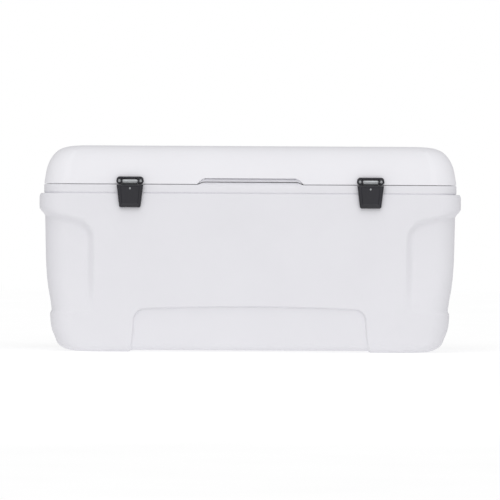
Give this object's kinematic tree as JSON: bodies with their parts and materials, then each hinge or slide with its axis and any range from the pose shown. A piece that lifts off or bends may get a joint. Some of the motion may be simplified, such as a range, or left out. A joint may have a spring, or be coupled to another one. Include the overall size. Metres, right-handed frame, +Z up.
{
  "type": "chest cooler",
  "caption": "Long insulated chest cooler with a domed hinged lid, strap latches, swing-up end handles, recessed corner panels and a screw-cap drain.",
  "frame": {"origin": "centre of the footprint, on the surface the cooler stands on", "axes": "+X along the length towards the drain end, +Y towards the hinges, so the latches face -Y, +Z up"},
  "size_m": [1.083, 0.465, 0.529],
  "materials": {
    "shell_white": "white rotationally soft, lightly grained polyethylene",
    "liner_white": "smooth white food-grade polyethylene",
    "foam": "rigid polyurethane foam",
    "fitting_white": "injection-moulded white plastic",
    "latch_black": "satin black moulded plastic",
    "stainless": "brushed stainless steel",
    "rubber": "black sealing rubber"
  },
  "bodies": {
    "body": {"body_outer_shell": "shell_white", "body_foam": "foam", "body_liner": "liner_white", "left_latch_catch": "fitting_white", "left_handle_mount_front": "fitting_white", "left_handle_mount_rear": "fitting_white", "left_handle_screw_front": "stainless", "left_handle_screw_rear": "stainless", "right_latch_catch": "fitting_white", "right_handle_mount_front": "fitting_white", "right_handle_mount_rear": "fitting_white", "right_handle_screw_front": "stainless", "right_handle_screw_rear": "stainless", "left_hinge_body_leaf": "stainless", "left_hinge_pin": "stainless", "left_hinge_body_screw_a": "stainless", "left_hinge_body_screw_b": "stainless", "centre_hinge_body_leaf": "stainless", "centre_hinge_pin": "stainless", "centre_hinge_body_screw_a": "stainless", "centre_hinge_body_screw_b": "stainless", "right_hinge_body_leaf": "stainless", "right_hinge_pin": "stainless", "right_hinge_body_screw_a": "stainless", "right_hinge_body_screw_b": "stainless", "drain_spout": "fitting_white", "drain_nut": "fitting_white", "drain_gasket": "rubber"},
    "lid": {"lid_outer_shell": "shell_white", "lid_foam": "foam", "lid_liner": "liner_white", "left_latch_bracket": "latch_black", "left_latch_pin": "stainless", "left_latch_screw_inner": "stainless", "left_latch_screw_outer": "stainless", "right_latch_bracket": "latch_black", "right_latch_pin": "stainless", "right_latch_screw_inner": "stainless", "right_latch_screw_outer": "stainless", "left_hinge_lid_leaf": "stainless", "left_hinge_lid_screw_a": "stainless", "left_hinge_lid_screw_b": "stainless", "centre_hinge_lid_leaf": "stainless", "centre_hinge_lid_screw_a": "stainless", "centre_hinge_lid_screw_b": "stainless", "right_hinge_lid_leaf": "stainless", "right_hinge_lid_screw_a": "stainless", "right_hinge_lid_screw_b": "stainless"},
    "left_latch": {"left_latch_flap": "latch_black", "left_latch_strap": "stainless", "left_latch_rivet": "stainless"},
    "right_latch": {"right_latch_flap": "latch_black", "right_latch_strap": "stainless", "right_latch_rivet": "stainless"},
    "left_handle": {"left_handle_bail": "fitting_white", "left_handle_grip": "fitting_white"},
    "right_handle": {"right_handle_bail": "fitting_white", "right_handle_grip": "fitting_white"},
    "drain_washer": {"drain_cap_washer": "rubber"},
    "drain_cap": {"drain_cap": "fitting_white"}
  },
  "joints": [
    {"name": "lid_hinge", "type": "hinge", "parent": "body", "child": "lid", "pos_m": [0, 0.2265, 0.43], "axis": [-1, 0, 0], "range_deg": [0, 100]},
    {"name": "left_latch_hinge", "type": "hinge", "parent": "lid", "child": "left_latch", "pos_m": [-0.308, -0.224, 0.4375], "axis": [-1, 0, 0], "range_deg": [0, 130]},
    {"name": "right_latch_hinge", "type": "hinge", "parent": "lid", "child": "right_latch", "pos_m": [0.308, -0.224, 0.4375], "axis": [-1, 0, 0], "range_deg": [0, 130]},
    {"name": "left_handle_swing", "type": "hinge", "parent": "body", "child": "left_handle", "pos_m": [-0.514, 0, 0.312], "axis": [0, 1, 0], "range_deg": [0, 88]},
    {"name": "right_handle_swing", "type": "hinge", "parent": "body", "child": "right_handle", "pos_m": [0.514, 0, 0.312], "axis": [0, -1, 0], "range_deg": [0, 88]},
    {"name": "drain_cap_travel", "type": "slide", "parent": "body", "child": "drain_washer", "axis": [1, 0, 0], "range_m": [0, 0.012]},
    {"name": "drain_cap_turn", "type": "hinge", "parent": "drain_washer", "child": "drain_cap", "pos_m": [0.495, 0, 0.062], "axis": [1, 0, 0], "range_deg": [0, 1080]}
  ],
  "couplings": [
    {"joint": "drain_cap_travel", "follows": "drain_cap_turn", "m_per_rad": 0.0006366}
  ]
}
